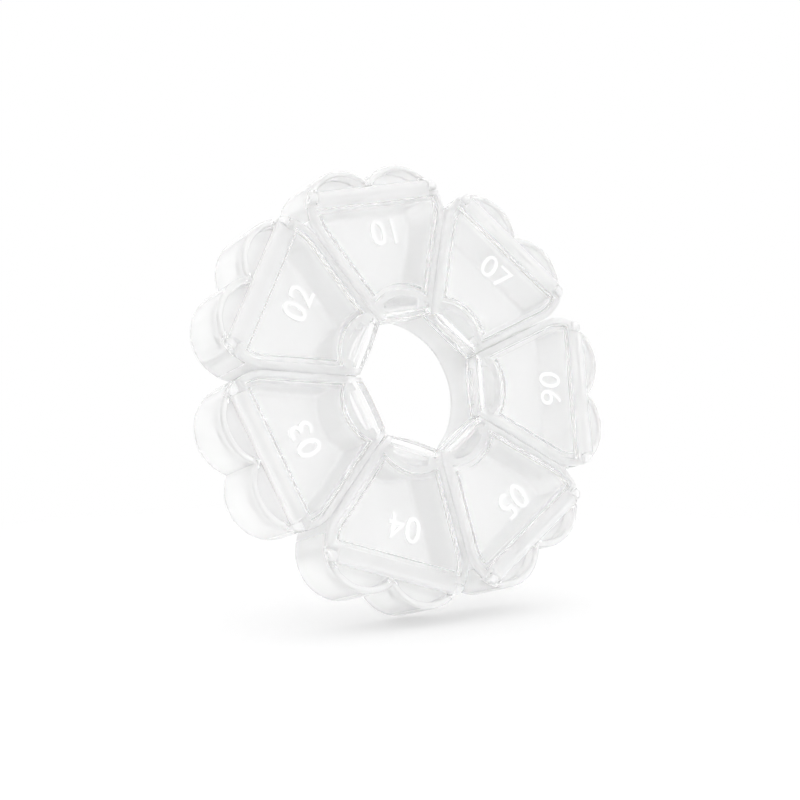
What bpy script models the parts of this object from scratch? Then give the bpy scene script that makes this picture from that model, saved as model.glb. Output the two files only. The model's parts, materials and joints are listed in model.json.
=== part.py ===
"""Weekly pill box: seven heart-shaped lidded cups set round an open hub ring.

Lengths are in metres and +Z is up. The box lies flat with its lids on top.
Each petal is drawn along +X, with the hub's axis at the origin, and is then
turned to its place. Petal 1 points along +Y and the others follow anticlockwise.
"""
import math

import bmesh
import bpy
from mathutils import Matrix, Vector

# Whole box
PETALS = 7
OUTER_RADIUS = 0.0550        # hub axis to the crown of a lobe
LOBE_SPACING_SHARE = 0.72    # petal's axis to a lobe's centre, as a share of its radius
PETAL_GAP = 0.0004           # slit between neighbouring petals
SEAT_GAP = 0.0003            # between pieces that rest on or face each other
RUNNING_GAP = 0.0003         # round what turns

# Cup
RIM_HEIGHT = 0.0154          # underside to the rim below the lid
CUP_WALL = 0.0017
CUP_FLOOR = 0.0015
CHORD_WALL = 0.0016          # straight wall across the cell's outer end
HUB_ARC_RADIUS = 0.0110      # bowed wall towards the hub, inner face
HUB_WALL = 0.0015            # that wall's thickness
HUB_WELL = 0.0015            # space between it and the ring
RECESS_DEPTH = 0.0034        # rim to the shelf between the straight wall and the lobes
RECESS_PLATE = 0.0014        # the shelf's thickness
RIM_ROUND = 0.0005           # rounding along the rim's outer edge
RECESS_FLARE = 0.0004        # chamfer along the rim's inner edge
FOOT_ROUND = 0.0007          # rounding under the box

# Hinge at the straight outer edge
HINGE_INSET = 0.0072         # crown of a lobe to the hinge's axis
BARREL_RADIUS = 0.00125
BARREL_COVER = 0.0001        # the lid's face and outer edge beyond the barrel
CELL_TO_BARREL = 0.0013      # straight wall's inner face to the barrel's
KNUCKLE_LENGTH = 0.0018      # a hinge ear of the cup, along the hinge's axis
KNUCKLE_INSET = 0.0001       # its outer end behind the lobed wall
CHANNEL_SHORT = 0.0001       # the barrel's channel ends this far before the ear
PIN_RADIUS = 0.0006
PIN_REACH = 0.0012           # how far the pin runs into each ear
PIN_CLEARANCE = 0.0001

# Lid
LID_THICKNESS = 0.0015
LID_EDGE_FLAT = 0.0004       # upright part of the lid's edge
LID_EDGE_ROUND = 0.0015      # width of the sloping part
HUB_EDGE_SHARE = 0.2         # that slope's width at the hub, as a share
HINGE_EDGE_SHARE = 0.3       # and at the hinge
LIP_WALL = 0.0012            # locating lip under the lid
LIP_HEIGHT = 0.0018
LIP_SINK = 0.0002            # how far welded-on features reach into the plate

# Pull tab and catch at the hub
TAB_OVERHANG = 0.0026        # how far the tab stands inside the ring's bore
TAB_BOW = 0.0004             # how far its middle bows into the hole
TAB_WALL = 0.0015
TAB_DROP = 0.0052            # from the lid's face to the tab's lower edge
BEAD_RADIUS = 0.00045
BEAD_PROUD = 0.0003
BEAD_END_GAP = 0.0007        # bead's end to the post beside it
BAR_RADIUS = 0.0005          # catch bar that the bead passes
BAR_SINK = 0.0003            # how far the bar's ends reach into the posts
BAR_ABOVE_BEAD = 0.0001
POST_WIDTH = 0.0021
POST_INSET = 0.0012          # post's outer face to the petal's side
POST_SINK = 0.00015          # how far a post reaches into the bowed wall
POST_BELOW_RIM = 0.0002

# Hub ring with its dovetail keys
RING_INNER = 0.0185
RING_WALL = 0.0014
RING_BELOW_RIM = 0.0039
RING_CHAMFER = 0.0003
KEY_NECK_HALF = 0.0009
KEY_HEAD_HALF = 0.0015
KEY_DEPTH = 0.0010
KEY_FOOT = 0.0010            # underside to the key's lower end
KEY_BELOW_TOP = 0.0015       # key's upper end to the ring's top
KEY_SINK = 0.0003            # how far a key's root reaches into the ring
RAIL_WIDTH = 0.0015
RAIL_SINK = 0.0004           # how far a rail reaches into the bowed wall

# How finely round shapes are drawn
LOBE_STEPS = 12
ROUND_STEPS = 2
HUB_ARC_STEPS = 6
TAB_STEPS = 4
BARREL_SIDES = 16
PIN_SIDES = 12
BEAD_SIDES = 8
RING_STEPS_PER_PETAL = 8
OVERRUN = 0.0020             # how far a cutter runs past what it cuts
SHARP_ANGLE = math.radians(32)


# Sizes worked out from those above

def lobe_radius():
    """Radius of a lobe that touches the petal's side and the outer circle."""
    share = LOBE_SPACING_SHARE
    k = (1 + share * math.cos(HALF_SECTOR)) / math.sin(HALF_SECTOR)
    m = PETAL_GAP / 2 / math.sin(HALF_SECTOR)
    a = k * k + share * share - 1
    b = k * m + OUTER_RADIUS
    c = m * m - OUTER_RADIUS * OUTER_RADIUS
    return (math.sqrt(b * b - a * c) - b) / a


def lid_levels():
    """Levels up the lid's sloping edge: (inset, height) pairs."""
    slope_height = LID_THICKNESS - LID_EDGE_FLAT
    levels = [(0, LID_BOTTOM)]
    for step in range(ROUND_STEPS + 1):
        angle = math.pi / 2 * step / ROUND_STEPS
        levels.append((LID_EDGE_ROUND * (1 - math.cos(angle)),
                       LID_TOP - slope_height * (1 - math.sin(angle))))
    return levels


def nose_reach():
    """How far the lid's outer edge stands from the hinge's axis, at most."""
    return max(math.hypot(NOSE_X - inset * HINGE_EDGE_SHARE - HINGE_X, height - HINGE_Z)
               for inset, height in lid_levels())


HALF_SECTOR = math.pi / PETALS
LOBE_RADIUS = lobe_radius()
LOBE_Y = LOBE_SPACING_SHARE * LOBE_RADIUS
LOBE_X = math.sqrt((OUTER_RADIUS - LOBE_RADIUS) ** 2 - LOBE_Y ** 2)
LID_BOTTOM = RIM_HEIGHT + SEAT_GAP
LID_TOP = LID_BOTTOM + LID_THICKNESS
HINGE_X = OUTER_RADIUS - HINGE_INSET
HINGE_Z = LID_TOP - BARREL_COVER - BARREL_RADIUS
NOSE_X = HINGE_X + BARREL_RADIUS + BARREL_COVER
NOSE_REACH = nose_reach()
HINGE_HALF_WIDTH = LOBE_Y + math.sqrt(LOBE_RADIUS ** 2 - (HINGE_X - LOBE_X) ** 2)
KNUCKLE_START = HINGE_HALF_WIDTH - KNUCKLE_INSET - KNUCKLE_LENGTH
KNUCKLE_CLEAR_X = HINGE_X - BARREL_RADIUS - RUNNING_GAP
BARREL_HALF = KNUCKLE_START - RUNNING_GAP
CHANNEL_HALF = KNUCKLE_START - CHANNEL_SHORT
PIN_HALF = KNUCKLE_START + PIN_REACH
CELL_OUTER_X = HINGE_X - BARREL_RADIUS - CELL_TO_BARREL
CHORD_WALL_TOP = HINGE_Z - NOSE_REACH - 2 * RUNNING_GAP
RECESS_X = CELL_OUTER_X + CHORD_WALL
RECESS_FLOOR = RIM_HEIGHT - RECESS_DEPTH
RING_OUTER = RING_INNER + RING_WALL
RING_HEIGHT = RIM_HEIGHT - RING_BELOW_RIM
KEY_TOP = RING_HEIGHT - KEY_BELOW_TOP
HUB_ARC_CROWN = RING_OUTER + HUB_WELL + HUB_WALL
HUB_ARC_X = HUB_ARC_CROWN - HUB_ARC_RADIUS
TAB_X = RING_INNER - TAB_OVERHANG
TAB_BOTTOM = LID_TOP - TAB_DROP
BEAD_X = TAB_X + TAB_WALL + BEAD_PROUD - BEAD_RADIUS
BEAD_Z = TAB_BOTTOM + BEAD_RADIUS + SEAT_GAP
BAR_X = BEAD_X + BEAD_RADIUS + BAR_ABOVE_BEAD + BAR_RADIUS
BAR_Z = BEAD_Z + BEAD_RADIUS + BAR_ABOVE_BEAD + BAR_RADIUS
POST_X = BAR_X - BAR_RADIUS
POST_BOTTOM = RING_HEIGHT + SEAT_GAP


# Outlines in a petal's own plane, drawn as the half with Y above zero

def mirrored(half):
    """Closes a half outline with its mirror image across the petal's axis."""
    other = [(x, -y) for x, y in reversed(half) if y > 0]
    return half + other


def side_y(x, inset):
    """Half width of the petal at x, between its two straight sides."""
    return x * math.tan(HALF_SECTOR) - (PETAL_GAP / 2 + inset) / math.cos(HALF_SECTOR)


def lobe_arc(inset, end_angle):
    """Points along a lobe, from where the straight side meets it to an angle."""
    radius = LOBE_RADIUS - inset
    start_angle = HALF_SECTOR + math.pi / 2
    points = []
    for step in range(LOBE_STEPS + 1):
        angle = start_angle + (end_angle - start_angle) * step / LOBE_STEPS
        points.append((LOBE_X + radius * math.cos(angle), LOBE_Y + radius * math.sin(angle)))
    return points


def lobe_angle_at_x(inset, x):
    """Angle at which the lobe's outer side reaches a distance from the hub's axis."""
    return math.acos((x - LOBE_X) / (LOBE_RADIUS - inset))


def notch_angle(inset):
    """Angle at which the two lobes meet on the petal's axis."""
    return -math.asin(LOBE_Y / (LOBE_RADIUS - inset))


def to_notch(points):
    """Puts the last point of a lobe exactly on the petal's axis."""
    return points[:-1] + [(points[-1][0], 0)]


def petal_outline(inset, hub_x):
    """The heart shape, cut straight towards the hub."""
    half = [(hub_x, side_y(hub_x, inset))]
    half += to_notch(lobe_arc(inset, notch_angle(inset)))
    return mirrored(half)


def hub_arc(radius, side_inset):
    """Points of the bowed wall, from the petal's axis to its straight side."""
    slope = math.tan(HALF_SECTOR)
    drop = (PETAL_GAP / 2 + side_inset) / math.cos(HALF_SECTOR)
    a = 1 + slope * slope
    b = HUB_ARC_X + slope * drop
    c = HUB_ARC_X * HUB_ARC_X + drop * drop - radius * radius
    x = (b + math.sqrt(b * b - a * c)) / a
    end_angle = math.atan2(side_y(x, side_inset), x - HUB_ARC_X)
    points = []
    for step in range(HUB_ARC_STEPS + 1):
        angle = end_angle * step / HUB_ARC_STEPS
        points.append((HUB_ARC_X + radius * math.cos(angle), radius * math.sin(angle)))
    return points


def cell_outline(inset):
    """The inside of the compartment, or of what stands inset from its walls."""
    side_inset = CUP_WALL + inset
    half = hub_arc(HUB_ARC_RADIUS + inset, side_inset)
    half += lobe_arc(side_inset, lobe_angle_at_x(side_inset, CELL_OUTER_X - inset))
    return mirrored(half)


def recess_outline(inset):
    """The space between the straight outer wall and the lobed one."""
    start_angle = lobe_angle_at_x(inset, RECESS_X)
    end_angle = notch_angle(inset)
    radius = LOBE_RADIUS - inset
    half = []
    for step in range(LOBE_STEPS + 1):
        angle = start_angle + (end_angle - start_angle) * step / LOBE_STEPS
        half.append((LOBE_X + radius * math.cos(angle), LOBE_Y + radius * math.sin(angle)))
    return mirrored(to_notch(half))


def tab_arc(inset):
    """The lid's bowed edge at the hub, from the petal's axis to its corner."""
    corner_x = TAB_X + inset
    corner_y = side_y(corner_x, inset)
    radius = (corner_y * corner_y + TAB_BOW * TAB_BOW) / (2 * TAB_BOW)
    centre_x = corner_x - TAB_BOW + radius
    end_angle = math.asin(corner_y / radius)
    points = []
    for step in range(TAB_STEPS + 1):
        angle = end_angle * step / TAB_STEPS
        points.append((centre_x - radius * math.cos(angle), radius * math.sin(angle)))
    return points


def lid_outline(inset):
    """The lid's plate: tab edge, straight sides, round corners and the nose over the hinge."""
    hub_edge = tab_arc(inset * HUB_EDGE_SHARE)
    corner_x, _ = hub_edge[-1]
    hub_edge[-1] = (corner_x, side_y(corner_x, inset))
    clear_x = KNUCKLE_CLEAR_X - inset
    half = hub_edge
    half += lobe_arc(inset, lobe_angle_at_x(inset, clear_x))
    half.append((clear_x, BARREL_HALF))
    half.append((NOSE_X - inset * HINGE_EDGE_SHARE, BARREL_HALF))
    return mirrored(half)


# Solids

def finish(mesh_data):
    """Turns a bmesh into a mesh whose faces point out and whose curves are smooth."""
    bmesh.ops.recalc_face_normals(mesh_data, faces=mesh_data.faces)
    mesh = bpy.data.meshes.new("shape")
    mesh_data.to_mesh(mesh)
    mesh_data.free()
    return mesh


def loft(sections):
    """A closed solid through flat outlines of like count: (outline, height) pairs."""
    solid = bmesh.new()
    rings = []
    for outline, height in sections:
        rings.append([solid.verts.new((x, y, height)) for x, y in outline])
    for lower, upper in zip(rings, rings[1:]):
        count = len(lower)
        for i in range(count):
            j = (i + 1) % count
            solid.faces.new((lower[i], lower[j], upper[j], upper[i]))
    solid.faces.new(rings[0])
    solid.faces.new(rings[-1])
    return finish(solid)


def frame_loft(outer, inner, low, high):
    """An upright wall between two outlines of like count."""
    solid = bmesh.new()
    loops = []
    for outline, height in ((outer, low), (outer, high), (inner, high), (inner, low)):
        loops.append([solid.verts.new((x, y, height)) for x, y in outline])
    for first, second in zip(loops, loops[1:] + loops[:1]):
        count = len(first)
        for i in range(count):
            j = (i + 1) % count
            solid.faces.new((first[i], first[j], second[j], second[i]))
    return finish(solid)


def box_between(low, high):
    """A plain block between two corners."""
    size = Vector(high) - Vector(low)
    centre = (Vector(high) + Vector(low)) / 2
    solid = bmesh.new()
    place = Matrix.Translation(centre) @ Matrix.Diagonal((*size, 1))
    bmesh.ops.create_cube(solid, size=1, matrix=place)
    return finish(solid)


def cross_rod(radius, sides, x, z, y_low, y_high):
    """A round rod along Y, with a vertex line at its top."""
    solid = bmesh.new()
    turn = Matrix.Rotation(math.pi / 2, 4, "X")
    place = Matrix.Translation((x, (y_low + y_high) / 2, z)) @ turn
    bmesh.ops.create_cone(
        solid, cap_ends=True, segments=sides, radius1=radius, radius2=radius,
        depth=y_high - y_low, matrix=place)
    return finish(solid)


def upright_drum(radius, sides, low, high):
    """A round drum on the hub's axis."""
    solid = bmesh.new()
    place = Matrix.Translation((0, 0, (low + high) / 2))
    bmesh.ops.create_cone(
        solid, cap_ends=True, segments=sides, radius1=radius, radius2=radius,
        depth=high - low, matrix=place)
    return finish(solid)


def combine(mesh, other, operation):
    """Joins, cuts or intersects a mesh with another, and returns the result."""
    base = bpy.data.objects.new("base", mesh)
    tool = bpy.data.objects.new("tool", other)
    scene = bpy.context.scene
    scene.collection.objects.link(base)
    scene.collection.objects.link(tool)
    modifier = base.modifiers.new("combine", "BOOLEAN")
    modifier.operation = operation
    modifier.solver = "EXACT"
    modifier.object = tool
    graph = bpy.context.evaluated_depsgraph_get()
    result = bpy.data.meshes.new_from_object(base.evaluated_get(graph))
    bpy.data.objects.remove(base)
    bpy.data.objects.remove(tool)
    bpy.data.meshes.remove(mesh)
    bpy.data.meshes.remove(other)
    return result


def flipped(mesh):
    """A copy mirrored across the petal's axis."""
    solid = bmesh.new()
    solid.from_mesh(mesh)
    bmesh.ops.transform(solid, matrix=Matrix.Scale(-1, 4, (0, 1, 0)), verts=solid.verts)
    return finish(solid)


def joined(meshes):
    """Several separate solids in one mesh."""
    solid = bmesh.new()
    for mesh in meshes:
        solid.from_mesh(mesh)
        bpy.data.meshes.remove(mesh)
    return finish(solid)


def pair(mesh):
    """A solid and its mirror image across the petal's axis."""
    return joined([mesh, flipped(mesh)])


# Pieces of one petal

def rounded_shell(outline, low, high):
    """The heart shape with a rounded foot and a rounded rim."""
    sections = []
    for step in range(ROUND_STEPS + 1):
        angle = math.pi / 2 * step / ROUND_STEPS
        sections.append((outline(FOOT_ROUND * (1 - math.sin(angle))),
                         low + FOOT_ROUND * (1 - math.cos(angle))))
    for step in range(ROUND_STEPS + 1):
        angle = math.pi / 2 * step / ROUND_STEPS
        sections.append((outline(RIM_ROUND * (1 - math.cos(angle))),
                         high - RIM_ROUND * (1 - math.sin(angle))))
    return loft(sections)


def knuckles():
    """The cup's two hinge ears, ending just behind the lobed wall."""
    reach = LOBE_Y + LOBE_RADIUS
    ear = cross_rod(BARREL_RADIUS, BARREL_SIDES, HINGE_X, HINGE_Z, KNUCKLE_START, reach)
    outline = petal_outline(KNUCKLE_INSET, RECESS_X - CHORD_WALL - OVERRUN)
    low = HINGE_Z - BARREL_RADIUS - OVERRUN
    high = HINGE_Z + BARREL_RADIUS + OVERRUN
    limit = loft([(outline, low), (outline, high)])
    return pair(combine(ear, limit, "INTERSECT"))


def bar_half():
    """Half the catch bar's clear length, between its two posts."""
    return side_y(POST_X, POST_INSET) - POST_WIDTH


def posts():
    """Two posts that carry the catch bar over the ring."""
    near_y = bar_half()
    wall_x = HUB_ARC_X + math.sqrt((HUB_ARC_RADIUS - HUB_WALL) ** 2 - near_y ** 2)
    return pair(box_between(
        (POST_X, near_y, POST_BOTTOM),
        (wall_x + POST_SINK, near_y + POST_WIDTH, RIM_HEIGHT - POST_BELOW_RIM)))


def rails():
    """Two rails that hold the cup on the ring's dovetail key."""
    slope = (KEY_HEAD_HALF - KEY_NECK_HALF) / KEY_DEPTH
    near_x = RING_OUTER + SEAT_GAP
    far_x = HUB_ARC_CROWN - HUB_WALL + RAIL_SINK
    near_y = KEY_NECK_HALF + slope * SEAT_GAP + SEAT_GAP
    far_y = KEY_HEAD_HALF + SEAT_GAP
    outer_y = far_y + RAIL_WIDTH
    outline = [(near_x, near_y), (RING_OUTER + KEY_DEPTH, far_y), (far_x, far_y),
               (far_x, outer_y), (near_x, outer_y)]
    return pair(loft([(outline, KEY_FOOT), (outline, KEY_TOP)]))


def cup_mesh():
    """One cup: heart-shaped shell, straight-walled cell, shelf and hinge ears."""
    hub_x = RING_OUTER * math.cos(HALF_SECTOR)
    top = RIM_HEIGHT + OVERRUN
    cup = rounded_shell(lambda inset: petal_outline(inset, hub_x), 0, RIM_HEIGHT)
    ring_sides = PETALS * RING_STEPS_PER_PETAL
    cup = combine(cup, upright_drum(RING_OUTER + SEAT_GAP, ring_sides, -OVERRUN, top), "DIFFERENCE")
    well = hub_arc(HUB_ARC_RADIUS - HUB_WALL, CUP_WALL)
    well = mirrored(well + [(hub_x - OVERRUN, side_y(hub_x, CUP_WALL))])
    cup = combine(cup, loft([(well, -OVERRUN), (well, top)]), "DIFFERENCE")
    cell = cell_outline(0)
    cup = combine(cup, loft([(cell, CUP_FLOOR), (cell, top)]), "DIFFERENCE")
    recess = recess_outline(CUP_WALL)
    flare = recess_outline(CUP_WALL - RECESS_FLARE)
    cup = combine(cup, loft([(recess, RECESS_FLOOR), (recess, RIM_HEIGHT - RECESS_FLARE),
                             (flare, RIM_HEIGHT), (flare, top)]), "DIFFERENCE")
    cup = combine(cup, loft([(recess, -OVERRUN), (recess, RECESS_FLOOR - RECESS_PLATE)]), "DIFFERENCE")
    cup = combine(cup, box_between(
        (CELL_OUTER_X - CHORD_WALL, -CHANNEL_HALF, CHORD_WALL_TOP),
        (RECESS_X + SEAT_GAP, CHANNEL_HALF, top)), "DIFFERENCE")
    cup = combine(cup, cross_rod(
        NOSE_REACH + RUNNING_GAP, BARREL_SIDES, HINGE_X, HINGE_Z,
        -CHANNEL_HALF, CHANNEL_HALF), "DIFFERENCE")
    cup = combine(cup, knuckles(), "UNION")
    reach = LOBE_Y + LOBE_RADIUS + OVERRUN
    cup = combine(cup, cross_rod(
        PIN_RADIUS + PIN_CLEARANCE, PIN_SIDES, HINGE_X, HINGE_Z, -reach, reach), "DIFFERENCE")
    cup = combine(cup, posts(), "UNION")
    bar_reach = bar_half() + BAR_SINK
    cup = combine(cup, cross_rod(
        BAR_RADIUS, BEAD_SIDES, BAR_X, BAR_Z, -bar_reach, bar_reach), "UNION")
    return combine(cup, rails(), "UNION")


def lid_mesh():
    """One lid: sloping-edged plate, hinge barrel, locating lip, tab and bead."""
    lid = loft([(lid_outline(inset), height) for inset, height in lid_levels()])
    lid = combine(lid, cross_rod(
        BARREL_RADIUS, BARREL_SIDES, HINGE_X, HINGE_Z, -BARREL_HALF, BARREL_HALF), "UNION")
    lip = frame_loft(cell_outline(SEAT_GAP), cell_outline(SEAT_GAP + LIP_WALL),
                     LID_BOTTOM - LIP_HEIGHT, LID_BOTTOM + LIP_SINK)
    lid = combine(lid, lip, "UNION")
    tab_half = tab_arc(0) + [(TAB_X + TAB_WALL, side_y(TAB_X, 0))]
    tab = mirrored(tab_half)
    lid = combine(lid, loft([(tab, TAB_BOTTOM), (tab, LID_BOTTOM + LIP_SINK)]), "UNION")
    bead_half = bar_half() - BEAD_END_GAP
    lid = combine(lid, cross_rod(
        BEAD_RADIUS, BEAD_SIDES, BEAD_X, BEAD_Z, -bead_half, bead_half), "UNION")
    lid = combine(lid, cross_rod(
        PIN_RADIUS + PIN_CLEARANCE, PIN_SIDES, HINGE_X, HINGE_Z,
        -BARREL_HALF - OVERRUN, BARREL_HALF + OVERRUN), "DIFFERENCE")
    lid.transform(Matrix.Translation((-HINGE_X, 0, -HINGE_Z)))
    return lid


def pin_mesh():
    """One hinge pin, drawn about the hinge's own axis."""
    return cross_rod(PIN_RADIUS, PIN_SIDES, 0, 0, -PIN_HALF, PIN_HALF)


# Hub ring

def ring_mesh():
    """The round ring that the cups stand round, with a dovetail key for each."""
    profile = [
        (RING_INNER + RING_CHAMFER, 0), (RING_OUTER - RING_CHAMFER, 0),
        (RING_OUTER, RING_CHAMFER), (RING_OUTER, RING_HEIGHT - RING_CHAMFER),
        (RING_OUTER - RING_CHAMFER, RING_HEIGHT), (RING_INNER + RING_CHAMFER, RING_HEIGHT),
        (RING_INNER, RING_HEIGHT - RING_CHAMFER), (RING_INNER, RING_CHAMFER)]
    solid = bmesh.new()
    verts = [solid.verts.new((x, 0, z)) for x, z in profile]
    edges = [solid.edges.new(ends) for ends in zip(verts, verts[1:] + verts[:1])]
    bmesh.ops.spin(solid, geom=verts + edges, axis=(0, 0, 1), cent=(0, 0, 0), angle=math.tau,
                   steps=PETALS * RING_STEPS_PER_PETAL, use_merge=True)
    ring = finish(solid)
    root_x = RING_OUTER - KEY_SINK
    head_x = RING_OUTER + KEY_DEPTH
    key = [(root_x, KEY_NECK_HALF), (RING_OUTER, KEY_NECK_HALF), (head_x, KEY_HEAD_HALF),
           (head_x, -KEY_HEAD_HALF), (RING_OUTER, -KEY_NECK_HALF), (root_x, -KEY_NECK_HALF)]
    keys = []
    for petal in range(PETALS):
        mesh = loft([(key, KEY_FOOT), (key, KEY_TOP)])
        mesh.transform(Matrix.Rotation(petal_angle(petal), 4, "Z"))
        keys.append(mesh)
    return combine(ring, joined(keys), "UNION")


# Assembly

def petal_angle(petal):
    """Direction of a petal's axis, the first along +Y."""
    return math.pi / 2 + 2 * HALF_SECTOR * petal


def hub_place():
    """Where the hub's axis stands, so that the box is centred on the origin."""
    reaches = []
    for petal in range(PETALS):
        for side in (1, -1):
            turn = petal_angle(petal) + side * math.atan2(LOBE_Y, LOBE_X)
            centre = (OUTER_RADIUS - LOBE_RADIUS) * math.sin(turn)
            reaches += [centre + LOBE_RADIUS, centre - LOBE_RADIUS]
    return Vector((0, -(max(reaches) + min(reaches)) / 2, 0))


def clear_plastic(name, colour, roughness):
    """Clear moulded plastic."""
    material = bpy.data.materials.new(name)
    material.use_nodes = True
    shader = material.node_tree.nodes["Principled BSDF"]
    shader.inputs["Base Color"].default_value = (*colour, 1)
    shader.inputs["Roughness"].default_value = roughness
    shader.inputs["Metallic"].default_value = 0
    shader.inputs["IOR"].default_value = 1.5
    shader.inputs["Transmission Weight"].default_value = 0.9
    return material


def place(name, mesh, parent, location, angle, material):
    """Adds one named piece to the box."""
    piece = bpy.data.objects.new(name, mesh)
    piece.parent = parent
    piece.location = location
    piece.rotation_euler = (0, 0, angle)
    if not mesh.materials:
        mesh.materials.append(material)
    bpy.context.scene.collection.objects.link(piece)
    return piece


def build():
    """Makes every piece of the box."""
    for old in list(bpy.data.objects):
        bpy.data.objects.remove(old)
    hub = bpy.data.objects.new("hub_axis", None)
    hub.location = hub_place()
    bpy.context.scene.collection.objects.link(hub)
    cup = cup_mesh()
    lid = lid_mesh()
    pin = pin_mesh()
    ring = ring_mesh()
    for mesh in (cup, lid, pin, ring):
        mesh.shade_smooth()
        mesh.set_sharp_from_angle(angle=SHARP_ANGLE)
    cup_finish = clear_plastic("cup_plastic", (0.92, 0.94, 0.95), 0.12)
    lid_finish = clear_plastic("lid_plastic", (0.94, 0.96, 0.97), 0.08)
    pin_finish = clear_plastic("pin_plastic", (0.90, 0.92, 0.93), 0.15)
    ring_finish = clear_plastic("ring_plastic", (0.93, 0.94, 0.94), 0.18)
    place("hub_ring", ring, hub, (0, 0, 0), 0, ring_finish)
    for petal in range(PETALS):
        angle = petal_angle(petal)
        hinge = Vector((HINGE_X * math.cos(angle), HINGE_X * math.sin(angle), HINGE_Z))
        number = petal + 1
        place(f"cup_{number}", cup, hub, (0, 0, 0), angle, cup_finish)
        place(f"lid_{number}", lid, hub, hinge, angle, lid_finish)
        place(f"hinge_pin_{number}", pin, hub, hinge, angle, pin_finish)


build()
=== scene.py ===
"""Looks of the weekly pill box: clear moulded cups, lids, hinge pins and hub ring.

Lengths are in metres. Each petal's pieces are modelled along +X, with the hub's
axis at the origin, and are then turned and moved to the petal that the frame gives.
"""
import json
import math

import bmesh
import bpy
from mathutils import Matrix, Vector


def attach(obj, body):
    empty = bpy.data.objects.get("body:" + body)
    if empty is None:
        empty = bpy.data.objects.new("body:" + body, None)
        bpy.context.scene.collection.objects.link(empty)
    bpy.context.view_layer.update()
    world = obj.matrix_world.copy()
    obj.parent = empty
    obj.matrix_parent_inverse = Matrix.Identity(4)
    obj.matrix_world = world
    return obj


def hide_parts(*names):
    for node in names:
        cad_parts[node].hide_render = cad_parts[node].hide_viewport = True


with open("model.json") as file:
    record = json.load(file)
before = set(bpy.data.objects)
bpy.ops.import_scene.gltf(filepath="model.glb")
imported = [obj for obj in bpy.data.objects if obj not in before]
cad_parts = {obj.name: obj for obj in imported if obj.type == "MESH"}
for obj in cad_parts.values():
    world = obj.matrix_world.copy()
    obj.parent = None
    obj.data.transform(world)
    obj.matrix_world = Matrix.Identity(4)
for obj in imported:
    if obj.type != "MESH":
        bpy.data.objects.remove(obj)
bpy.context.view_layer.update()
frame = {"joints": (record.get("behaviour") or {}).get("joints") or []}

# Whole box
PETALS = 7
OUTER_RADIUS = 0.0550        # hub axis to the crown of a lobe
LOBE_SPACING_SHARE = 0.72    # petal's axis to a lobe's centre, as a share of its radius
PETAL_GAP = 0.0004           # slit between neighbouring petals
SEAT_GAP = 0.0003            # between pieces that rest on or face each other
RUNNING_GAP = 0.0003         # round what turns

# Cup
RIM_HEIGHT = 0.0154          # underside to the rim below the lid
CUP_WALL = 0.0017
CUP_FLOOR = 0.0015
CHORD_WALL = 0.0016          # straight wall across the cell's outer end
HUB_ARC_RADIUS = 0.0110      # bowed wall towards the hub, inner face
HUB_WALL = 0.0015            # that wall's thickness
HUB_WELL = 0.0015            # space between it and the ring
RECESS_DEPTH = 0.0034        # rim to the shelf between the straight wall and the lobes
RECESS_PLATE = 0.0014        # the shelf's thickness
RIM_ROUND = 0.0007           # rounding along the rim's outer edge
RIM_FLARE = 0.0006           # rounding along the rim's inner edge
FLOOR_FILLET = 0.0008        # where a cell's walls meet its floor
SHELF_FILLET = 0.0004
FOOT_ROUND = 0.0009          # rounding under the box

# Hinge at the straight outer edge
HINGE_INSET = 0.0072         # crown of a lobe to the hinge's axis
BARREL_RADIUS = 0.00125
BARREL_COVER = 0.0001        # the lid's face and outer edge beyond the barrel
CELL_TO_BARREL = 0.0013      # straight wall's inner face to the barrel's
KNUCKLE_LENGTH = 0.0018      # a hinge ear of the cup, along the hinge's axis
KNUCKLE_INSET = 0.0001       # its outer end behind the lobed wall
CHANNEL_SHORT = 0.0001       # the barrel's channel ends this far before the ear
PIN_RADIUS = 0.0006
PIN_REACH = 0.0012           # how far the pin runs into each ear
PIN_CLEARANCE = 0.0001
END_ROUND = 0.00025          # round the ends of rods and posts

# Lid
LID_THICKNESS = 0.0015
LID_EDGE_FLAT = 0.0004       # upright part of the lid's edge
LID_EDGE_ROUND = 0.0015      # width of the sloping part
HUB_EDGE_SHARE = 0.2         # that slope's width at the hub, as a share
HINGE_EDGE_SHARE = 0.3       # and at the hinge
LIP_WALL = 0.0012            # locating lip under the lid
LIP_HEIGHT = 0.0018
LIP_SINK = 0.0002            # how far welded-on features reach into the plate

# Pull tab and catch at the hub
TAB_OVERHANG = 0.0026        # how far the tab stands inside the ring's bore
TAB_BOW = 0.0004             # how far its middle bows into the hole
TAB_WALL = 0.0015
TAB_DROP = 0.0052            # from the lid's face to the tab's lower edge
TAB_ROUND = 0.0003
BEAD_RADIUS = 0.00045
BEAD_PROUD = 0.0003
BEAD_END_GAP = 0.0007        # bead's end to the post beside it
BAR_RADIUS = 0.0005          # catch bar that the bead passes
BAR_SINK = 0.0003            # how far the bar's ends reach into the posts
BAR_ABOVE_BEAD = 0.0001
POST_WIDTH = 0.0021
POST_INSET = 0.0012          # post's outer face to the petal's side
POST_SINK = 0.00015          # how far a post reaches into the bowed wall
POST_BELOW_RIM = 0.0002

# Hub ring with its dovetail keys
RING_INNER = 0.0185
RING_WALL = 0.0014
RING_BELOW_RIM = 0.0039
RING_ROUND = 0.0003
KEY_NECK_HALF = 0.0009
KEY_HEAD_HALF = 0.0015
KEY_DEPTH = 0.0010
KEY_FOOT = 0.0010            # underside to the key's lower end
KEY_BELOW_TOP = 0.0015       # key's upper end to the ring's top
KEY_SINK = 0.0003            # how far a key's root reaches into the ring
RAIL_WIDTH = 0.0015
RAIL_SINK = 0.0004           # how far a rail reaches into the bowed wall

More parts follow.
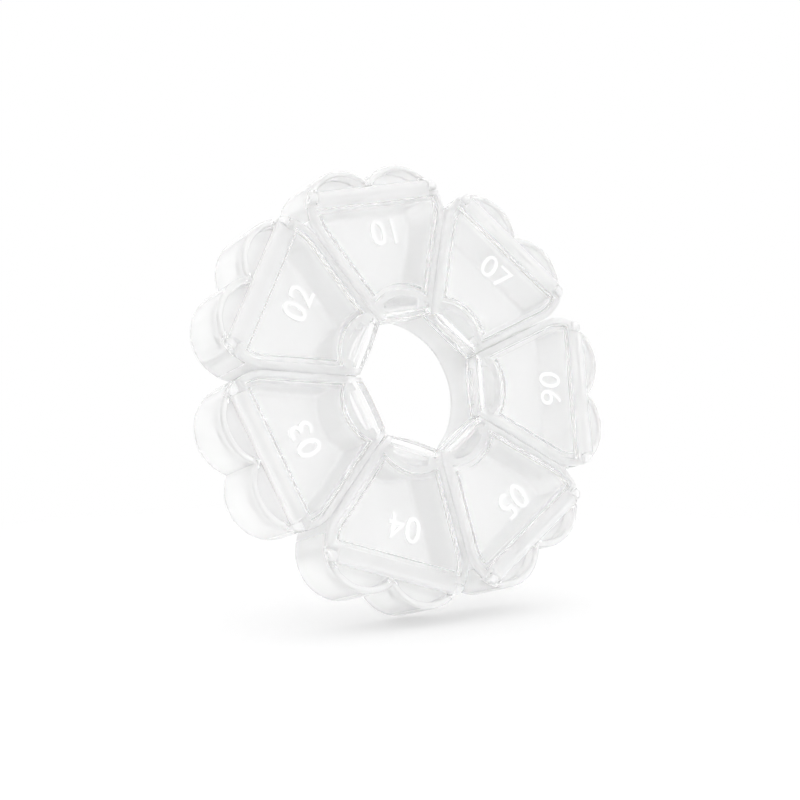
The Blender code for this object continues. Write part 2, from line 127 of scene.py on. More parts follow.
# Raised number on each lid
NUMBER_HEIGHT = 0.0066
NUMBER_PLACE = 0.0368        # hub axis to the number's middle
NUMBER_RISE = 0.00025
NUMBER_EDGE = 0.00003
FIGURE_SHARE = 0.729         # height of a figure, as a share of the type size

# Finishes: how rough, and the share of light that passes through
CUP_ROUGHNESS = 0.12
CUP_CLEAR = 0.6
CELL_ROUGHNESS = 0.33        # a cup's inner walls and its hinge channel
CELL_CLEAR = 0.6
LID_ROUGHNESS = 0.14
LID_CLEAR = 1.0
EDGE_ROUGHNESS = 0.33        # a lid's lip, its slopes and the band over the hinge
EDGE_CLEAR = 1.0
RING_ROUGHNESS = 0.3
RING_CLEAR = 0.8
PIN_ROUGHNESS = 0.4
PIN_CLEAR = 0.1
NUMBER_ROUGHNESS = 0.3
NUMBER_CLEAR = 0.1
PLASTIC_WHITE = 1.0
PLASTIC_IOR = 1.49
HAZE_SCALE = 60
HAZE_DETAIL = 4
HAZE_SPREAD = 0.15           # how far the roughness strays either way, as a share
FLOW_SCALE = 140             # the mould's faint flow marks
FLOW_DETAIL = 1
FLOW_DEPTH = 0.001
FLOW_STRENGTH = 0.005

# How finely round shapes are drawn
LOBE_STEPS = 40
ROUND_STEPS = 4
POST_ROUND_STEPS = 2
FIGURE_STEPS = 8
FIGURE_EDGE_STEPS = 1
BARREL_SIDES = 48
PIN_SIDES = 32
BEAD_SIDES = 24
DRUM_SIDES = 168
BOW_STEPS = 12
RING_STEPS_PER_PETAL = 12
OVERRUN = 0.0020             # how far a cutter runs past what it cuts
MERGE = 0.000001
SHARP_ANGLE = math.radians(34)
FLAT_SHARE = 0.99            # upright share of a flat face's normal
AREA_WEIGHT = 80             # how much more a large face counts in the shading

# Camera, on the photograph's 800 pixel frame
CAMERA_PLACE = (-0.23648, -0.04128, 0.36388)     # from the hub's axis at the underside
CAMERA_TURN = (14.241, -30.882, -16.963)
FOCAL_PIXELS = 1752.6
FRAME_PIXELS = 800
SENSOR_WIDTH = 36

# Floor under the lobes that the box stands on
FLOOR_NORMAL = (0.11368, 0.95241, 0.28282)
FLOOR_SIZE = 0.60
FLOOR_FADE_START = 0.10
FLOOR_FADE_END = 0.20
FLOOR_WHITE = 0.58
FLOOR_PAINTED_SHADOW_REACH = 0.03     # painted shadow: the floor's colour darkens this near to the box
FLOOR_PAINTED_SHADOW_POWER = 0.15     # and this strongly
FLOOR_GLOW = 0.35            # added to what the floor reflects
LIGHT_BELOW = 0.65           # light that comes up from the floor's side
LIGHT_ABOVE = 1.35           # and down from above
SEEN_STRENGTH = 1.0          # the surroundings as they are seen, which is white
WHITE = (1, 1, 1, 1)
ALL_BOUNCES = 32
CLEAR_BOUNCES = 24           # through clear walls and off them
SOFT_BOUNCES = 16


# Sizes worked out from those above

def foot_levels(low, size):
    """Levels of a rounded lower edge: (inset, height) pairs, upwards."""
    turns = [math.pi / 2 * step / ROUND_STEPS for step in range(ROUND_STEPS + 1)]
    return [(size * (1 - math.sin(turn)), low + size * (1 - math.cos(turn))) for turn in turns]


def rim_levels(high, width, height):
    """Levels of a rounded upper edge, which flares outwards if its width is negative."""
    turns = [math.pi / 2 * step / ROUND_STEPS for step in range(ROUND_STEPS + 1)]
    return [(width * (1 - math.cos(turn)), high - height * (1 - math.sin(turn))) for turn in turns]


def lobe_radius():
    """Radius of a lobe that touches the petal's side and the outer circle."""
    share = LOBE_SPACING_SHARE
    k = (1 + share * math.cos(HALF_SECTOR)) / math.sin(HALF_SECTOR)
    m = PETAL_GAP / 2 / math.sin(HALF_SECTOR)
    a = k * k + share * share - 1
    b = k * m + OUTER_RADIUS
    c = m * m - OUTER_RADIUS * OUTER_RADIUS
    return (math.sqrt(b * b - a * c) - b) / a


def lid_levels():
    """Levels up the lid's sloping edge: (inset, height) pairs."""
    return [(0, LID_BOTTOM)] + rim_levels(LID_TOP, LID_EDGE_ROUND, LID_THICKNESS - LID_EDGE_FLAT)


def nose_reach():
    """How far the lid's outer edge stands from the hinge's axis, at most."""
    return max(math.hypot(NOSE_X - inset * HINGE_EDGE_SHARE - HINGE_X, height - HINGE_Z)
               for inset, height in lid_levels())


HALF_SECTOR = math.pi / PETALS
LOBE_RADIUS = lobe_radius()
LOBE_Y = LOBE_SPACING_SHARE * LOBE_RADIUS
LOBE_X = math.sqrt((OUTER_RADIUS - LOBE_RADIUS) ** 2 - LOBE_Y ** 2)
LID_BOTTOM = RIM_HEIGHT + SEAT_GAP
LID_TOP = LID_BOTTOM + LID_THICKNESS
HINGE_X = OUTER_RADIUS - HINGE_INSET
HINGE_Z = LID_TOP - BARREL_COVER - BARREL_RADIUS
NOSE_X = HINGE_X + BARREL_RADIUS + BARREL_COVER
NOSE_REACH = nose_reach()
HINGE_HALF_WIDTH = LOBE_Y + math.sqrt(LOBE_RADIUS ** 2 - (HINGE_X - LOBE_X) ** 2)
KNUCKLE_START = HINGE_HALF_WIDTH - KNUCKLE_INSET - KNUCKLE_LENGTH
KNUCKLE_CLEAR_X = HINGE_X - BARREL_RADIUS - RUNNING_GAP
BARREL_HALF = KNUCKLE_START - RUNNING_GAP
CHANNEL_HALF = KNUCKLE_START - CHANNEL_SHORT
PIN_HALF = KNUCKLE_START + PIN_REACH
CELL_OUTER_X = HINGE_X - BARREL_RADIUS - CELL_TO_BARREL
CHORD_WALL_TOP = HINGE_Z - NOSE_REACH - 2 * RUNNING_GAP
RECESS_X = CELL_OUTER_X + CHORD_WALL
RECESS_FLOOR = RIM_HEIGHT - RECESS_DEPTH
RING_OUTER = RING_INNER + RING_WALL
RING_HEIGHT = RIM_HEIGHT - RING_BELOW_RIM
KEY_TOP = RING_HEIGHT - KEY_BELOW_TOP
HUB_ARC_CROWN = RING_OUTER + HUB_WELL + HUB_WALL
HUB_ARC_X = HUB_ARC_CROWN - HUB_ARC_RADIUS
TAB_X = RING_INNER - TAB_OVERHANG
TAB_BOTTOM = LID_TOP - TAB_DROP
BEAD_X = TAB_X + TAB_WALL + BEAD_PROUD - BEAD_RADIUS
BEAD_Z = TAB_BOTTOM + BEAD_RADIUS + SEAT_GAP
BAR_X = BEAD_X + BEAD_RADIUS + BAR_ABOVE_BEAD + BAR_RADIUS
BAR_Z = BEAD_Z + BEAD_RADIUS + BAR_ABOVE_BEAD + BAR_RADIUS
POST_X = BAR_X - BAR_RADIUS
POST_BOTTOM = RING_HEIGHT + SEAT_GAP
HUB_X = RING_OUTER * math.cos(HALF_SECTOR)


# Outlines

def side_y(x, inset):
    """Half width of a petal at x, between its two straight sides."""
    return x * math.tan(HALF_SECTOR) - (PETAL_GAP / 2 + inset) / math.cos(HALF_SECTOR)


def bowed_edge(shape, corner):
    """Half of the lid's shallow bow at the hub, from its corner to the petal's axis."""
    x, y, height = corner.co
    radius = (y * y + TAB_BOW * TAB_BOW) / (2 * TAB_BOW)
    bmesh.ops.spin(shape, geom=[corner], cent=(x - TAB_BOW + radius, 0, height), axis=(0, 0, 1),
                   angle=math.asin(y / radius), steps=BOW_STEPS)


def petal_loop(shape, inset, height, hub_x=None, inner_x=None, outer_x=None, lid=False):
    """Draws a closed loop that follows the petal's outline at an inset.

    It runs from hub_x, or else from inner_x on the lobes, out to outer_x or the notch.
    A lid is bowed at the hub, and its middle runs on over the hinge.
    """
    before = set(shape.edges)
    radius = LOBE_RADIUS - inset
    start = HALF_SECTOR + math.pi / 2 if inner_x is None else math.acos((inner_x - LOBE_X) / radius)
    end = -math.asin(LOBE_Y / radius) if outer_x is None else math.acos((outer_x - LOBE_X) / radius)
    centre = Vector((LOBE_X, LOBE_Y, height))
    first = shape.verts.new(centre + radius * Vector((math.cos(start), math.sin(start), 0)))
    lobe = bmesh.ops.spin(
        shape, geom=[first], cent=centre, axis=(0, 0, 1), angle=end - start, steps=LOBE_STEPS)
    if hub_x is not None:
        corner = shape.verts.new((hub_x, side_y(hub_x, inset), height))
        shape.edges.new((corner, first))
    if lid:
        bowed_edge(shape, corner)
        edge = inset * HINGE_EDGE_SHARE
        inner = shape.verts.new((outer_x, BARREL_HALF - edge, height))
        nose = shape.verts.new((NOSE_X - edge, BARREL_HALF - edge, height))
        last = [part for part in lobe["geom_last"] if isinstance(part, bmesh.types.BMVert)]
        shape.edges.new((*last, inner))
        shape.edges.new((inner, nose))
    return closed_loop(shape, before)


def closed_loop(shape, before):
    """Mirrors the half outline drawn since then, closes it and gives its edges."""
    half = [edge for edge in shape.edges if edge not in before]
    points = list({vert for edge in half for vert in edge.verts})
    bmesh.ops.mirror(shape, geom=points + half, axis="Y", merge_dist=MERGE)
    drawn = [edge for edge in shape.edges if edge not in before]
    ends = list({vert for edge in drawn for vert in edge.verts if len(vert.link_edges) == 1})
    ends.sort(key=lambda vert: vert.co.x)
    for pair in (ends[:2], ends[2:]):
        if pair:
            drawn.append(shape.edges.new(pair))
    return drawn


def cup_loop(shape, inset, height):
    """The cup's outside."""
    return petal_loop(shape, inset, height, hub_x=HUB_X)


def cell_loop(shape, inset, height):
    """A cell's inside, which runs on towards the hub until a drum trims it."""
    return petal_loop(shape, CUP_WALL + inset, height, hub_x=HUB_ARC_X, outer_x=CELL_OUTER_X - inset)


def recess_loop(shape, inset, height):
    """The space between the straight wall and the lobes."""
    return petal_loop(shape, CUP_WALL + inset, height, inner_x=RECESS_X + inset)


def lid_loop(shape, inset, height):
    """The lid's plate, from its bowed edge at the hub to its nose over the hinge."""
    return petal_loop(shape, inset, height, hub_x=TAB_X + inset * HUB_EDGE_SHARE,
                      outer_x=KNUCKLE_CLEAR_X - inset, lid=True)


def tab_loop(shape, inset, height):
    """The tab's outline, with the lid's bowed edge."""
    before = set(shape.edges)
    corner = shape.verts.new((TAB_X + inset, side_y(TAB_X, inset), height))
    back = shape.verts.new((TAB_X + TAB_WALL - inset, side_y(TAB_X, inset), height))
    shape.edges.new((corner, back))
    bowed_edge(shape, corner)
    return closed_loop(shape, before)


# Solids

def mesh_from(shape):
    """A mesh with outward faces, from a bmesh that is then freed."""
    bmesh.ops.recalc_face_normals(shape, faces=shape.faces)
    mesh = bpy.data.meshes.new("shape")
    shape.to_mesh(mesh)
    shape.free()
    return mesh


def solid(loop, levels):
    """A closed solid through a loop drawn at several (inset, height) levels."""
    shape = bmesh.new()
    loops = [loop(shape, inset, height) for inset, height in levels]
    for lower, upper in zip(loops, loops[1:]):
        bmesh.ops.bridge_loops(shape, edges=lower + upper)
    for cap in (loops[0], loops[-1]):
        bmesh.ops.contextual_create(shape, geom=cap)
    return mesh_from(shape)


def prism(corners, low, high):
    """A solid raised from a flat shape with a few corners."""
    shape = bmesh.new()
    face = shape.faces.new([shape.verts.new((x, y, low)) for x, y in corners])
    raised = bmesh.ops.extrude_face_region(shape, geom=[face])
    verts = [part for part in raised["geom"] if isinstance(part, bmesh.types.BMVert)]
    bmesh.ops.translate(shape, vec=(0, 0, high - low), verts=verts)
    return mesh_from(shape)


def rod(radius, sides, x, z, half, end_round=0.0, middle=0.0):
    """A round rod along Y, with its end edges rounded if asked."""
    shape = bmesh.new()
    place = Matrix.Translation((x, middle, z)) @ Matrix.Rotation(math.pi / 2, 4, "X")
    bmesh.ops.create_cone(
        shape, cap_ends=True, segments=sides, radius1=radius, radius2=radius, depth=2 * half, matrix=place)
    if end_round:
        rims = [edge for edge in shape.edges if abs(edge.verts[0].co.y - edge.verts[1].co.y) < MERGE]
        bmesh.ops.bevel(
            shape, geom=rims, offset=end_round, segments=ROUND_STEPS, profile=0.5,
            affect="EDGES", material=-1)
    return mesh_from(shape)


def drum(radius, x, low, high, sides=DRUM_SIDES):
    """An upright round drum on the petal's axis."""
    shape = bmesh.new()
    place = Matrix.Translation((x, 0, (low + high) / 2))
    bmesh.ops.create_cone(
        shape, cap_ends=True, segments=sides, radius1=radius, radius2=radius, depth=high - low, matrix=place)
    return mesh_from(shape)


def block(low, high, edge=0.0):
    """A block between two corners, with its edges rounded if asked."""
    low = Vector(low)
    high = Vector(high)
    shape = bmesh.new()
    place = Matrix.Translation((low + high) / 2) @ Matrix.Diagonal((*(high - low), 1))
    bmesh.ops.create_cube(shape, size=1, matrix=place)
    if edge:
        bmesh.ops.bevel(
            shape, geom=shape.edges[:], offset=edge, segments=POST_ROUND_STEPS, profile=0.5,
            affect="EDGES", material=-1)
    return mesh_from(shape)


def combine(mesh, other, operation):
    """Joins, cuts or intersects a mesh with another."""
    base = bpy.data.objects.new("base", mesh)
    tool = bpy.data.objects.new("tool", other)
    collection = bpy.context.scene.collection
    collection.objects.link(base)
    collection.objects.link(tool)
    modifier = base.modifiers.new("combine", "BOOLEAN")
    modifier.operation = operation
    modifier.solver = "EXACT"
    modifier.object = tool
    graph = bpy.context.evaluated_depsgraph_get()
    result = bpy.data.meshes.new_from_object(base.evaluated_get(graph))
    bpy.data.objects.remove(base)
    bpy.data.objects.remove(tool)
    bpy.data.meshes.remove(mesh)
    bpy.data.meshes.remove(other)
    return result


def cut(mesh, other):
    """Takes another solid out of a mesh."""
    return combine(mesh, other, "DIFFERENCE")


def join(mesh, other):
    """Fuses another solid with a mesh."""
    return combine(mesh, other, "UNION")


def both_sides(mesh):
    """A solid and its mirror image across the petal's axis."""
    shape = bmesh.new()
    shape.from_mesh(mesh)
    bmesh.ops.mirror(shape, geom=shape.verts[:] + shape.edges[:] + shape.faces[:], axis="Y", merge_dist=0)
    bpy.data.meshes.remove(mesh)
    return mesh_from(shape)


# Cup

def bar_half():
    """Half the catch bar's clear length, between its two posts."""
    return side_y(POST_X, POST_INSET) - POST_WIDTH


def knuckles():
    """The cup's two hinge ears, ending just behind the lobed wall."""
    reach = LOBE_Y + LOBE_RADIUS
    half = (reach - KNUCKLE_START) / 2
    ear = rod(BARREL_RADIUS, BARREL_SIDES, HINGE_X, HINGE_Z, half, 0, KNUCKLE_START + half)
    low = HINGE_Z - 2 * BARREL_RADIUS
    high = HINGE_Z + 2 * BARREL_RADIUS
    limit = solid(cup_loop, [(KNUCKLE_INSET, low), (KNUCKLE_INSET, high)])
    return both_sides(combine(ear, limit, "INTERSECT"))


def posts():
    """Two posts that carry the catch bar over the ring."""
    near_y = bar_half()
    wall_x = HUB_ARC_X + math.sqrt((HUB_ARC_RADIUS - HUB_WALL) ** 2 - near_y ** 2)
    return both_sides(block(
        (POST_X, near_y, POST_BOTTOM),
        (wall_x + POST_SINK, near_y + POST_WIDTH, RIM_HEIGHT - POST_BELOW_RIM), END_ROUND))


def rails():
    """Two rails that hold the cup on the ring's dovetail key."""
    slope = (KEY_HEAD_HALF - KEY_NECK_HALF) / KEY_DEPTH
    near_x = RING_OUTER + SEAT_GAP
    far_x = HUB_ARC_CROWN - HUB_WALL + RAIL_SINK
    near_y = KEY_NECK_HALF + slope * SEAT_GAP + SEAT_GAP
    far_y = KEY_HEAD_HALF + SEAT_GAP
    outer_y = far_y + RAIL_WIDTH
    corners = [(near_x, near_y), (RING_OUTER + KEY_DEPTH, far_y), (far_x, far_y),
               (far_x, outer_y), (near_x, outer_y)]
    return both_sides(prism(corners, KEY_FOOT, KEY_TOP))


def cup_mesh():
    """One cup along +X."""
    top = RIM_HEIGHT + OVERRUN
    cup = solid(cup_loop, foot_levels(0, FOOT_ROUND) + rim_levels(RIM_HEIGHT, RIM_ROUND, RIM_ROUND))
    cup = cut(cup, drum(RING_OUTER + SEAT_GAP, 0, -OVERRUN, top))
    well = solid(lambda shape, inset, height: petal_loop(shape, CUP_WALL, height, hub_x=HUB_X - OVERRUN),
                 [(0, -OVERRUN), (0, top)])
    well = combine(well, drum(HUB_ARC_RADIUS - HUB_WALL, HUB_ARC_X, -2 * OVERRUN, top + OVERRUN), "INTERSECT")
    cup = cut(cup, well)
    mouth = rim_levels(RIM_HEIGHT, -RIM_FLARE, RIM_FLARE) + [(-RIM_FLARE, top)]
    cell = solid(cell_loop, foot_levels(CUP_FLOOR, FLOOR_FILLET) + mouth)
    cup = cut(cup, cut(cell, drum(HUB_ARC_RADIUS, HUB_ARC_X, -OVERRUN, top + OVERRUN)))
    cup = cut(cup, solid(recess_loop, foot_levels(RECESS_FLOOR, SHELF_FILLET) + mouth))
    shelf_bottom = RECESS_FLOOR - RECESS_PLATE
    cup = cut(cup, solid(recess_loop, [(0, -OVERRUN)] + rim_levels(shelf_bottom, SHELF_FILLET, SHELF_FILLET)))
    cup = cut(cup, block((CELL_OUTER_X - CHORD_WALL, -CHANNEL_HALF, CHORD_WALL_TOP),
                         (RECESS_X + SEAT_GAP, CHANNEL_HALF, top)))
    cup = cut(cup, rod(NOSE_REACH + RUNNING_GAP, BARREL_SIDES, HINGE_X, HINGE_Z, CHANNEL_HALF))
    cup = join(cup, knuckles())
    cup = cut(cup, rod(PIN_RADIUS + PIN_CLEARANCE, PIN_SIDES, HINGE_X, HINGE_Z,
                       LOBE_Y + LOBE_RADIUS + OVERRUN))
    cup = join(cup, posts())
    cup = join(cup, rod(BAR_RADIUS, BEAD_SIDES, BAR_X, BAR_Z, bar_half() + BAR_SINK))
    return join(cup, rails())


# Lid

def lid_lip():
    """The lip under the plate that drops inside the cell."""
    low = LID_BOTTOM - LIP_HEIGHT
    high = LID_BOTTOM + LIP_SINK
    outer_gap = SEAT_GAP
    inner_gap = SEAT_GAP + LIP_WALL
    outer = solid(cell_loop, [(outer_gap + inset, height) for inset, height in foot_levels(low, TAB_ROUND)]
                  + [(outer_gap, high)])
    outer = cut(outer, drum(HUB_ARC_RADIUS + outer_gap, HUB_ARC_X, low - OVERRUN, high + OVERRUN))
    inner = solid(cell_loop, [(inner_gap, low - OVERRUN), (inner_gap, high + OVERRUN)])
    inner = cut(inner, drum(HUB_ARC_RADIUS + inner_gap, HUB_ARC_X, low - 2 * OVERRUN, high + 2 * OVERRUN))
    return cut(outer, inner)


def lid_mesh():
    """One lid along +X, shut."""
    lid = solid(lid_loop, lid_levels())
    lid = join(lid, rod(BARREL_RADIUS, BARREL_SIDES, HINGE_X, HINGE_Z, BARREL_HALF - END_ROUND, END_ROUND))
    lid = join(lid, lid_lip())
    lid = join(lid, solid(tab_loop, foot_levels(TAB_BOTTOM, TAB_ROUND) + [(0, LID_BOTTOM + LIP_SINK)]))
    lid = join(lid, rod(BEAD_RADIUS, BEAD_SIDES, BEAD_X, BEAD_Z, bar_half() - BEAD_END_GAP))
    return cut(lid, rod(PIN_RADIUS + PIN_CLEARANCE, PIN_SIDES, HINGE_X, HINGE_Z, BARREL_HALF + OVERRUN))


# Number, pin and ring

def number_mesh(text):
    """A raised number that stands on a lid, its top turned outwards."""
    curve = bpy.data.curves.new("number", "FONT")
    curve.body = text
    curve.size = NUMBER_HEIGHT / FIGURE_SHARE
    curve.align_x = "CENTER"
    curve.align_y = "CENTER"
    curve.extrude = NUMBER_RISE
    curve.bevel_depth = NUMBER_EDGE
    curve.bevel_resolution = FIGURE_EDGE_STEPS
    curve.resolution_u = FIGURE_STEPS
    words = bpy.data.objects.new("number", curve)
    bpy.context.scene.collection.objects.link(words)
    graph = bpy.context.evaluated_depsgraph_get()
    mesh = bpy.data.meshes.new_from_object(words.evaluated_get(graph))
    bpy.data.objects.remove(words)
    bpy.data.curves.remove(curve)
    turn = Matrix.Rotation(-math.pi / 2, 4, "Z")
    mesh.transform(Matrix.Translation((NUMBER_PLACE, 0, LID_TOP + NUMBER_EDGE)) @ turn)
    return mesh


def ring_loop(shape, inset, height):
    """The ring's outside."""
    steps = 2 * PETALS * RING_STEPS_PER_PETAL
    place = Matrix.Translation((0, 0, height))
    drawn = bmesh.ops.create_circle(shape, segments=steps, radius=RING_OUTER - inset, matrix=place)
    return list({edge for vert in drawn["verts"] for edge in vert.link_edges})


def ring_mesh():
    """The hub ring with a dovetail key behind each cup."""
    ring = solid(ring_loop, foot_levels(0, RING_ROUND) + rim_levels(RING_HEIGHT, RING_ROUND, RING_ROUND))
    ring = cut(ring, drum(RING_INNER, 0, -OVERRUN, RING_HEIGHT + OVERRUN))
    root_x = RING_OUTER - KEY_SINK
    head_x = RING_OUTER + KEY_DEPTH
    corners = [(root_x, KEY_NECK_HALF), (RING_OUTER, KEY_NECK_HALF), (head_x, KEY_HEAD_HALF),
               (head_x, -KEY_HEAD_HALF), (RING_OUTER, -KEY_NECK_HALF), (root_x, -KEY_NECK_HALF)]
    for joint in frame["joints"]:
        key = prism(corners, KEY_FOOT, KEY_TOP)
        key.transform(Matrix.Rotation(petal_angle(joint), 4, "Z"))
        ring = join(ring, key)
    return ring


# Places

def petal_angle(joint):
    """Direction of a petal, from the hinge axis that crosses it."""
    x, y, _ = joint["axis"]
    return math.atan2(-x, y)


def hub_place():
    """Where the hub's axis stands, from the first petal's hinge."""
    joint = frame["joints"][0]
    angle = petal_angle(joint)
    x, y, _ = joint["pos_m"]
    return Vector((x - HINGE_X * math.cos(angle), y - HINGE_X * math.sin(angle), 0))


HUB = hub_place()


def petal_place(joint):
    """Turns and moves a piece drawn along +X to its petal."""
    return Matrix.Translation(HUB) @ Matrix.Rotation(petal_angle(joint), 4, "Z")


def frost_inside(mesh):
    """Gives all of a cup but its lobed walls and its shelf the second finish."""
    for face in mesh.polygons:
        x, y, z = face.center
        lobed = x > LOBE_X and math.hypot(x - LOBE_X, abs(y) - LOBE_Y) > LOBE_RADIUS - CUP_WALL / 2
        hinged = math.hypot(x - HINGE_X, z - HINGE_Z) < NOSE_REACH + 2 * RUNNING_GAP
        face.material_index = int(hinged or not (lobed or x > RECESS_X))
    return mesh


def frost_edges(mesh):
    """Gives the lid's lip, its slopes and all beyond the cell the second finish."""
    shape = bmesh.new()
    shape.from_mesh(mesh)
    bmesh.ops.bisect_plane(shape, geom=shape.verts[:] + shape.edges[:] + shape.faces[:],
                           plane_co=(CELL_OUTER_X, 0, 0), plane_no=(1, 0, 0), dist=MERGE)
    for face in shape.faces:
        middle = face.calc_center_median()
        edge = middle.z < LID_BOTTOM - MERGE or abs(face.normal.z) < FLAT_SHARE
        face.material_index = int(middle.x > (HUB_X if edge else CELL_OUTER_X))
    bpy.data.meshes.remove(mesh)
    return mesh_from(shape)


def add_piece(name, mesh, place, materials, body, node=None):
    """Adds a finished piece, which rides on a body and may stand for a CAD node."""
    own = mesh.copy()
    own.transform(place)
    own.shade_smooth()
    own.set_sharp_from_angle(angle=SHARP_ANGLE)
    for material in materials:
        own.materials.append(material)
    piece = bpy.data.objects.new(name, own)
    bpy.context.scene.collection.objects.link(piece)
    weighted = piece.modifiers.new("even_normals", "WEIGHTED_NORMAL")
    weighted.mode = "FACE_AREA"
    weighted.weight = AREA_WEIGHT
    weighted.keep_sharp = True
    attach(piece, body)
    if node:
        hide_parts(node)
    return piece


# Materials

def clear_plastic(name, roughness, clear_share):
    """Clear moulded plastic with faint flow marks and a soft haze."""
    material = bpy.data.materials.new(name)
    material.use_nodes = True
    nodes = material.node_tree.nodes
    links = material.node_tree.links
    shader = nodes["Principled BSDF"]
    shader.inputs["Base Color"].default_value = (PLASTIC_WHITE, PLASTIC_WHITE, PLASTIC_WHITE, 1)
    shader.inputs["Metallic"].default_value = 0
    shader.inputs["IOR"].default_value = PLASTIC_IOR
    shader.inputs["Transmission Weight"].default_value = clear_share
    place = nodes.new("ShaderNodeTexCoord")
    haze = nodes.new("ShaderNodeTexNoise")
    haze.inputs["Scale"].default_value = HAZE_SCALE
    haze.inputs["Detail"].default_value = HAZE_DETAIL
    links.new(place.outputs["Object"], haze.inputs["Vector"])
    spread = nodes.new("ShaderNodeMapRange")
    spread.inputs["To Min"].default_value = roughness * (1 - HAZE_SPREAD)
    spread.inputs["To Max"].default_value = roughness * (1 + HAZE_SPREAD)
    links.new(haze.outputs["Fac"], spread.inputs["Value"])
    links.new(spread.outputs["Result"], shader.inputs["Roughness"])
    flow = nodes.new("ShaderNodeTexNoise")
    flow.inputs["Scale"].default_value = FLOW_SCALE
    flow.inputs["Detail"].default_value = FLOW_DETAIL
    links.new(place.outputs["Object"], flow.inputs["Vector"])
    bump = nodes.new("ShaderNodeBump")
    bump.inputs["Strength"].default_value = FLOW_STRENGTH
    bump.inputs["Distance"].default_value = FLOW_DEPTH
    links.new(flow.outputs["Fac"], bump.inputs["Height"])
    links.new(bump.outputs["Normal"], shader.inputs["Normal"])
    return material


def floor_material():
    """A white floor that keeps a soft lit shadow, with painted shadow darkening its colour near the box, and
    fades out round the box.
    """
    material = bpy.data.materials.new("floor")
    material.use_nodes = True
    nodes = material.node_tree.nodes
    links = material.node_tree.links
    nodes.clear()
    out = nodes.new("ShaderNodeOutputMaterial")
    white = nodes.new("ShaderNodeEmission")
    white.inputs["Strength"].default_value = FLOOR_GLOW
    matt = nodes.new("ShaderNodeBsdfDiffuse")
    # painted shadow: ambient occlusion darkens the floor's diffuse colour near the box
    painted_shadow = nodes.new("ShaderNodeAmbientOcclusion")
    painted_shadow.inputs["Distance"].default_value = FLOOR_PAINTED_SHADOW_REACH
    painted_shadow_softness = nodes.new("ShaderNodeMath")
    painted_shadow_softness.operation = "POWER"
    painted_shadow_softness.inputs[1].default_value = FLOOR_PAINTED_SHADOW_POWER
    links.new(painted_shadow.outputs["AO"], painted_shadow_softness.inputs[0])
    painted_shadow_colour = nodes.new("ShaderNodeMath")
    painted_shadow_colour.operation = "MULTIPLY"
    painted_shadow_colour.inputs[1].default_value = FLOOR_WHITE
    links.new(painted_shadow_softness.outputs[0], painted_shadow_colour.inputs[0])
    links.new(painted_shadow_colour.outputs[0], matt.inputs["Color"])
    surface = nodes.new("ShaderNodeAddShader")
    links.new(white.outputs[0], surface.inputs[0])
    links.new(matt.outputs[0], surface.inputs[1])
    clear = nodes.new("ShaderNodeBsdfTransparent")
    place = nodes.new("ShaderNodeTexCoord")
    length = nodes.new("ShaderNodeVectorMath")
    length.operation = "LENGTH"
    links.new(place.outputs["Object"], length.inputs[0])
    fade = nodes.new("ShaderNodeMapRange")
    fade.interpolation_type = "SMOOTHSTEP"
    fade.inputs["From Min"].default_value = FLOOR_FADE_START
    fade.inputs["From Max"].default_value = FLOOR_FADE_END
    links.new(length.outputs["Value"], fade.inputs["Value"])
    side = nodes.new("ShaderNodeNewGeometry")
    gone = nodes.new("ShaderNodeMath")
    gone.operation = "MAXIMUM"
    links.new(fade.outputs["Result"], gone.inputs[0])
    links.new(side.outputs["Backfacing"], gone.inputs[1])
    mix = nodes.new("ShaderNodeMixShader")
    links.new(gone.outputs[0], mix.inputs[0])
    links.new(surface.outputs[0], mix.inputs[1])
    links.new(clear.outputs[0], mix.inputs[2])
    links.new(mix.outputs[0], out.inputs["Surface"])
    return material


# Build

def build_pieces():
    """Dresses every CAD node."""
    cup_finish = clear_plastic("cup_plastic", CUP_ROUGHNESS, CUP_CLEAR)
    lid_finish = clear_plastic("lid_plastic", LID_ROUGHNESS, LID_CLEAR)
    pin_finish = clear_plastic("pin_plastic", PIN_ROUGHNESS, PIN_CLEAR)
    ring_finish = clear_plastic("ring_plastic", RING_ROUGHNESS, RING_CLEAR)
    cell_finish = clear_plastic("cell_plastic", CELL_ROUGHNESS, CELL_CLEAR)
    edge_finish = clear_plastic("edge_plastic", EDGE_ROUGHNESS, EDGE_CLEAR)
    number_finish = clear_plastic("number_plastic", NUMBER_ROUGHNESS, NUMBER_CLEAR)
    cup = frost_inside(cup_mesh())
    lid = frost_edges(lid_mesh())
    pin = rod(PIN_RADIUS, PIN_SIDES, HINGE_X, HINGE_Z, PIN_HALF, END_ROUND)
    add_piece("ring_clear", ring_mesh(), Matrix.Translation(HUB), [ring_finish],
              "box", "hub_ring")
    for index, joint in enumerate(frame["joints"]):
        number = index + 1
        place = petal_place(joint)
        body = joint["child"]
        add_piece(f"cup_clear_{number}", cup, place, [cup_finish, cell_finish],
                  "box", f"cup_{number}")
        add_piece(f"pin_clear_{number}", pin, place, [pin_finish],
                  "box", f"hinge_pin_{number}")
        add_piece(f"lid_clear_{number}", lid, place, [lid_finish, edge_finish],
                  body, f"lid_{number}")
        add_piece(f"number_{number}", number_mesh(f"{number:02d}"), place, [number_finish],
                  body)


def build_floor():
    """A floor just below the lobes that the box stands on in the photograph."""
    normal = Vector(FLOOR_NORMAL).normalized()
    corners = []
    for joint in frame["joints"]:
        place = petal_place(joint)
        for side in (1, -1):
            middle = place @ Vector((LOBE_X, side * LOBE_Y, 0))
            reach = normal - Vector((0, 0, normal.z))
            corners.append(middle - reach.normalized() * LOBE_RADIUS)
    lowest = min(corners, key=normal.dot)
    shape = bmesh.new()
    bmesh.ops.create_grid(shape, x_segments=1, y_segments=1, size=FLOOR_SIZE / 2)
    floor = bpy.data.objects.new("floor", mesh_from(shape))
    floor.data.materials.append(floor_material())
    if floor.data.polygons[0].normal.z < 0:
        floor.data.flip_normals()
    floor.rotation_euler = normal.to_track_quat("Z", "Y").to_euler()
    floor.location = lowest - normal * SEAT_GAP
    bpy.context.scene.collection.objects.link(floor)


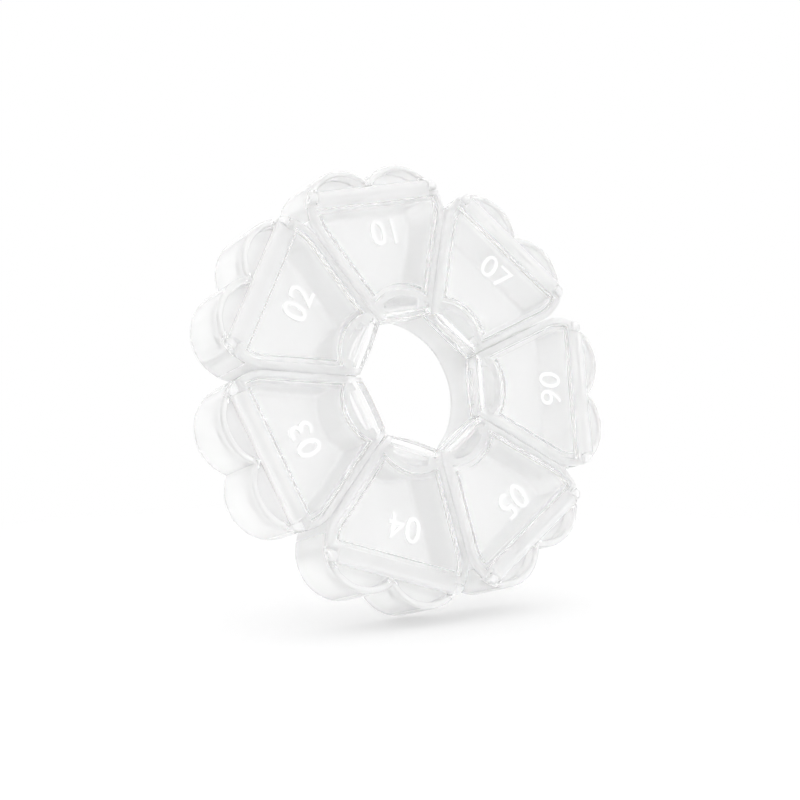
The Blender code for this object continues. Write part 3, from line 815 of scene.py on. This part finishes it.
def build_camera():
    """The photograph's camera."""
    data = bpy.data.cameras.new("camera")
    data.sensor_width = SENSOR_WIDTH
    data.lens = FOCAL_PIXELS * SENSOR_WIDTH / FRAME_PIXELS
    camera = bpy.data.objects.new("camera", data)
    camera.location = HUB + Vector(CAMERA_PLACE)
    camera.rotation_euler = [math.radians(angle) for angle in CAMERA_TURN]
    bpy.context.scene.collection.objects.link(camera)
    bpy.context.scene.camera = camera


def build_light():
    """White surroundings for what is seen, and softer light on what is lit."""
    world = bpy.data.worlds.new("studio")
    bpy.context.scene.world = world
    world.use_nodes = True
    nodes = world.node_tree.nodes
    links = world.node_tree.links
    lit = nodes["Background"]
    lit.inputs["Color"].default_value = WHITE
    place = nodes.new("ShaderNodeTexCoord")
    rise = nodes.new("ShaderNodeVectorMath")
    rise.operation = "DOT_PRODUCT"
    rise.inputs[1].default_value = FLOOR_NORMAL
    links.new(place.outputs["Generated"], rise.inputs[0])
    level = nodes.new("ShaderNodeMapRange")
    level.inputs["From Min"].default_value = -1
    level.inputs["To Min"].default_value = LIGHT_BELOW
    level.inputs["To Max"].default_value = LIGHT_ABOVE
    links.new(rise.outputs["Value"], level.inputs["Value"])
    links.new(level.outputs["Result"], lit.inputs["Strength"])
    seen = nodes.new("ShaderNodeBackground")
    seen.inputs["Color"].default_value = WHITE
    seen.inputs["Strength"].default_value = SEEN_STRENGTH
    ray = nodes.new("ShaderNodeLightPath")
    either = nodes.new("ShaderNodeMath")
    either.operation = "MAXIMUM"
    links.new(ray.outputs["Is Camera Ray"], either.inputs[0])
    links.new(ray.outputs["Is Transmission Ray"], either.inputs[1])
    mix = nodes.new("ShaderNodeMixShader")
    links.new(either.outputs[0], mix.inputs[0])
    links.new(lit.outputs[0], mix.inputs[1])
    links.new(seen.outputs[0], mix.inputs[2])
    links.new(mix.outputs[0], nodes["World Output"].inputs["Surface"])


def set_view():
    """Plain view settings, and enough bounces for clear walls behind clear lids."""
    scene = bpy.context.scene
    scene.view_settings.view_transform = "Standard"
    scene.cycles.max_bounces = ALL_BOUNCES
    scene.cycles.transmission_bounces = CLEAR_BOUNCES
    scene.cycles.glossy_bounces = CLEAR_BOUNCES
    scene.cycles.diffuse_bounces = SOFT_BOUNCES
    scene.cycles.transparent_max_bounces = SOFT_BOUNCES
    scene.cycles.blur_glossy = 0
    scene.cycles.use_denoising = True


build_pieces()
build_floor()
build_camera()
build_light()
set_view()
